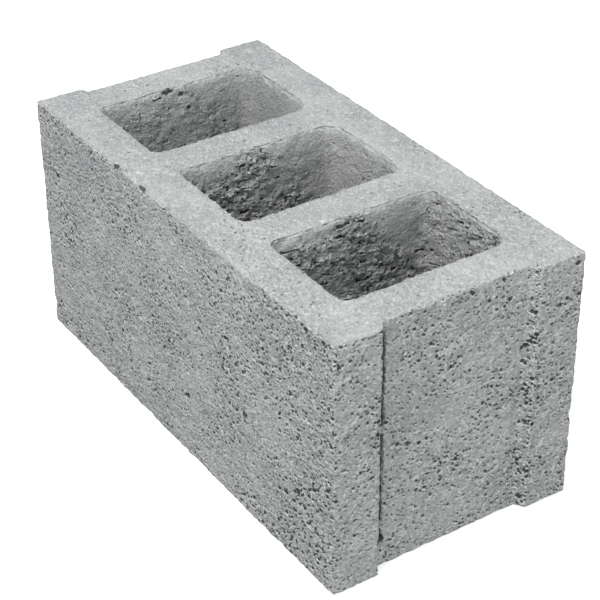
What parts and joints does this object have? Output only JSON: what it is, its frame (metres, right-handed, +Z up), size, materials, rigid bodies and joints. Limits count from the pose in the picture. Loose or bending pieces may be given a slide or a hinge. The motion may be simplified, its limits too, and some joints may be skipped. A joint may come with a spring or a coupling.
{
  "type": "concrete block",
  "caption": "Hollow masonry block: rectangular cores run through it from bed to bed, and each end has a shallow recess between flanges for the mortar joint.",
  "frame": {"origin": "middle of the lower bed face's outline, level with the floor", "axes": "+X along the length, +Y across the width, +Z up from bed to bed along the cores"},
  "size_m": [0.4, 0.2, 0.2],
  "materials": {
    "vibrated_concrete": "matte"
  },
  "bodies": {
    "root": {"concrete_block": "vibrated_concrete"}
  },
  "joints": []
}
